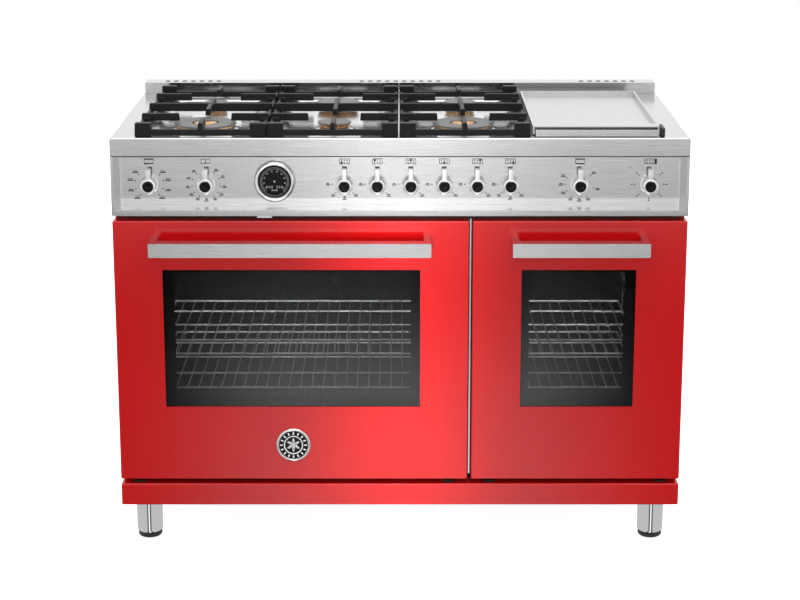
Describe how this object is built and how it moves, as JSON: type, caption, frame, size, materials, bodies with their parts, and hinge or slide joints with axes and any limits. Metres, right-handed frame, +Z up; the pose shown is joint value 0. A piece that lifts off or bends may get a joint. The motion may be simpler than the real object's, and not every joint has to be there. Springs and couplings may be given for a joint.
{
  "type": "freestanding gas range",
  "caption": "Wide freestanding cooker: gas hob with cast grates and a griddle, recessed knob panel, two drop-down oven doors with bar handles, on round legs.",
  "frame": {"origin": "on the floor, in the middle of the footprint", "axes": "+X to the right as seen from the front, +Y to the back, so the doors face -Y, +Z up"},
  "size_m": [1.214, 0.71, 0.9426],
  "materials": {
    "stainless": "horizontally brushed, satin",
    "chrome": "polished plating",
    "red_enamel": "high gloss baked enamel",
    "dark_glass": "tinted toughened glass",
    "cast_iron": "matt black enamelled casting",
    "brass": "machined brass, heat tinted",
    "cap_enamel": "matt grey enamelled steel",
    "oven_enamel": "dark vitreous enamel with fine flecks",
    "black_plastic": "fine textured black plastic",
    "galvanised": "galvanised sheet, dull spangle"
  },
  "bodies": {
    "range_body": {"back_panel": "galvanised", "backguard": "stainless", "base_pan": "galvanised", "centre_front_burner": "brass", "centre_front_burner_cap": "cap_enamel", "centre_rear_burner": "brass", "centre_rear_burner_cap": "cap_enamel", "control_fascia": "stainless", "gas_manifold": "galvanised", "gauge_dial": "chrome", "kick_plate": "red_enamel", "left_front_burner": "brass", "left_front_burner_cap": "cap_enamel", "left_front_leg": "chrome", "left_rear_burner": "brass", "left_rear_burner_cap": "cap_enamel", "left_rear_leg": "chrome", "left_side_panel": "red_enamel", "main_oven_cavity": "oven_enamel", "right_front_burner": "brass", "right_front_burner_cap": "cap_enamel", "right_front_leg": "chrome", "right_rear_burner": "brass", "right_rear_burner_cap": "cap_enamel", "right_rear_leg": "chrome", "right_side_panel": "red_enamel", "small_oven_cavity": "oven_enamel", "worktop": "stainless"},
    "main_door": {"main_door_panel": "red_enamel", "main_door_window": "dark_glass", "main_door_liner": "oven_enamel", "main_door_handle": "stainless", "badge": "chrome"},
    "small_door": {"small_door_panel": "red_enamel", "small_door_window": "dark_glass", "small_door_liner": "oven_enamel", "small_door_handle": "stainless"},
    "grease_tray": {"grease_tray": "stainless"},
    "griddle": {"griddle_plate": "stainless"},
    "main_upper_rack": {"main_upper_rack": "chrome"},
    "main_lower_rack": {"main_lower_rack": "chrome"},
    "small_upper_rack": {"small_upper_rack": "chrome"},
    "small_lower_rack": {"small_lower_rack": "chrome"},
    "left_grate": {"left_grate": "cast_iron"},
    "centre_grate": {"centre_grate": "cast_iron"},
    "right_grate": {"right_grate": "cast_iron"},
    "oven_mode_knob": {"oven_mode_knob": "chrome"},
    "thermostat_knob": {"thermostat_knob": "chrome"},
    "left_front_knob": {"left_front_knob": "chrome"},
    "left_rear_knob": {"left_rear_knob": "chrome"},
    "centre_rear_knob": {"centre_rear_knob": "chrome"},
    "centre_front_knob": {"centre_front_knob": "chrome"},
    "right_rear_knob": {"right_rear_knob": "chrome"},
    "right_front_knob": {"right_front_knob": "chrome"},
    "small_oven_knob": {"small_oven_knob": "chrome"},
    "griddle_knob": {"griddle_knob": "chrome"},
    "left_front_foot": {"left_front_foot": "black_plastic"},
    "left_rear_foot": {"left_rear_foot": "black_plastic"},
    "right_front_foot": {"right_front_foot": "black_plastic"},
    "right_rear_foot": {"right_rear_foot": "black_plastic"}
  },
  "joints": [
    {"name": "main_door_hinge", "type": "hinge", "parent": "range_body", "child": "main_door", "pos_m": [-0.2305, -0.275, 0.168], "axis": [1, 0, 0], "range_deg": [0, 90], "stiffness_Nm_per_rad": 21, "springref_deg": -20.05},
    {"name": "small_door_hinge", "type": "hinge", "parent": "range_body", "child": "small_door", "pos_m": [0.3805, -0.275, 0.168], "axis": [1, 0, 0], "range_deg": [0, 90], "stiffness_Nm_per_rad": 13, "springref_deg": -20.05},
    {"name": "main_upper_rack_slide", "type": "slide", "parent": "range_body", "child": "main_upper_rack", "axis": [0, -1, 0], "range_m": [0, 0.3]},
    {"name": "main_lower_rack_slide", "type": "slide", "parent": "range_body", "child": "main_lower_rack", "axis": [0, -1, 0], "range_m": [0, 0.15]},
    {"name": "small_upper_rack_slide", "type": "slide", "parent": "range_body", "child": "small_upper_rack", "axis": [0, -1, 0], "range_m": [0, 0.3]},
    {"name": "small_lower_rack_slide", "type": "slide", "parent": "range_body", "child": "small_lower_rack", "axis": [0, -1, 0], "range_m": [0, 0.15]},
    {"name": "oven_mode_knob_turn", "type": "hinge", "parent": "range_body", "child": "oven_mode_knob", "pos_m": [-0.5325, -0.23, 0.803], "axis": [0, 1, 0], "range_deg": [0, 315]},
    {"name": "thermostat_knob_turn", "type": "hinge", "parent": "range_body", "child": "thermostat_knob", "pos_m": [-0.412, -0.23, 0.803], "axis": [0, 1, 0], "range_deg": [0, 300]},
    {"name": "left_front_knob_turn", "type": "hinge", "parent": "range_body", "child": "left_front_knob", "pos_m": [-0.118, -0.23, 0.803], "axis": [0, -1, 0], "range_deg": [0, 225]},
    {"name": "left_rear_knob_turn", "type": "hinge", "parent": "range_body", "child": "left_rear_knob", "pos_m": [-0.048, -0.23, 0.803], "axis": [0, -1, 0], "range_deg": [0, 225]},
    {"name": "centre_rear_knob_turn", "type": "hinge", "parent": "range_body", "child": "centre_rear_knob", "pos_m": [0.023, -0.23, 0.803], "axis": [0, -1, 0], "range_deg": [0, 225]},
    {"name": "centre_front_knob_turn", "type": "hinge", "parent": "range_body", "child": "centre_front_knob", "pos_m": [0.094, -0.23, 0.803], "axis": [0, -1, 0], "range_deg": [0, 225]},
    {"name": "right_rear_knob_turn", "type": "hinge", "parent": "range_body", "child": "right_rear_knob", "pos_m": [0.164, -0.23, 0.803], "axis": [0, -1, 0], "range_deg": [0, 225]},
    {"name": "right_front_knob_turn", "type": "hinge", "parent": "range_body", "child": "right_front_knob", "pos_m": [0.2345, -0.23, 0.803], "axis": [0, -1, 0], "range_deg": [0, 225]},
    {"name": "small_oven_knob_turn", "type": "hinge", "parent": "range_body", "child": "small_oven_knob", "pos_m": [0.3816, -0.23, 0.803], "axis": [0, 1, 0], "range_deg": [0, 300]},
    {"name": "griddle_knob_turn", "type": "hinge", "parent": "range_body", "child": "griddle_knob", "pos_m": [0.5295, -0.23, 0.803], "axis": [0, -1, 0], "range_deg": [0, 270]},
    {"name": "left_grate_lift", "type": "slide", "parent": "range_body", "child": "left_grate", "axis": [0, 0, 1], "range_m": [0, 0.1]},
    {"name": "centre_grate_lift", "type": "slide", "parent": "range_body", "child": "centre_grate", "axis": [0, 0, 1], "range_m": [0, 0.1]},
    {"name": "right_grate_lift", "type": "slide", "parent": "range_body", "child": "right_grate", "axis": [0, 0, 1], "range_m": [0, 0.1]},
    {"name": "griddle_lift", "type": "slide", "parent": "range_body", "child": "griddle", "axis": [0, 0, 1], "range_m": [0, 0.08]},
    {"name": "grease_tray_slide", "type": "slide", "parent": "range_body", "child": "grease_tray", "axis": [0, -1, 0], "range_m": [0, 0.06]},
    {"name": "left_front_foot_screw", "type": "slide", "parent": "range_body", "child": "left_front_foot", "axis": [0, 0, -1], "range_m": [0, 0.02]},
    {"name": "left_rear_foot_screw", "type": "slide", "parent": "range_body", "child": "left_rear_foot", "axis": [0, 0, -1], "range_m": [0, 0.02]},
    {"name": "right_front_foot_screw", "type": "slide", "parent": "range_body", "child": "right_front_foot", "axis": [0, 0, -1], "range_m": [0, 0.02]},
    {"name": "right_rear_foot_screw", "type": "slide", "parent": "range_body", "child": "right_rear_foot", "axis": [0, 0, -1], "range_m": [0, 0.02]}
  ],
  "couplings": [
    {"joint": "main_upper_rack_slide", "follows": "main_door_hinge", "m_per_rad": 0.19},
    {"joint": "main_lower_rack_slide", "follows": "main_door_hinge", "m_per_rad": 0.095},
    {"joint": "small_upper_rack_slide", "follows": "small_door_hinge", "m_per_rad": 0.19},
    {"joint": "small_lower_rack_slide", "follows": "small_door_hinge", "m_per_rad": 0.095}
  ]
}
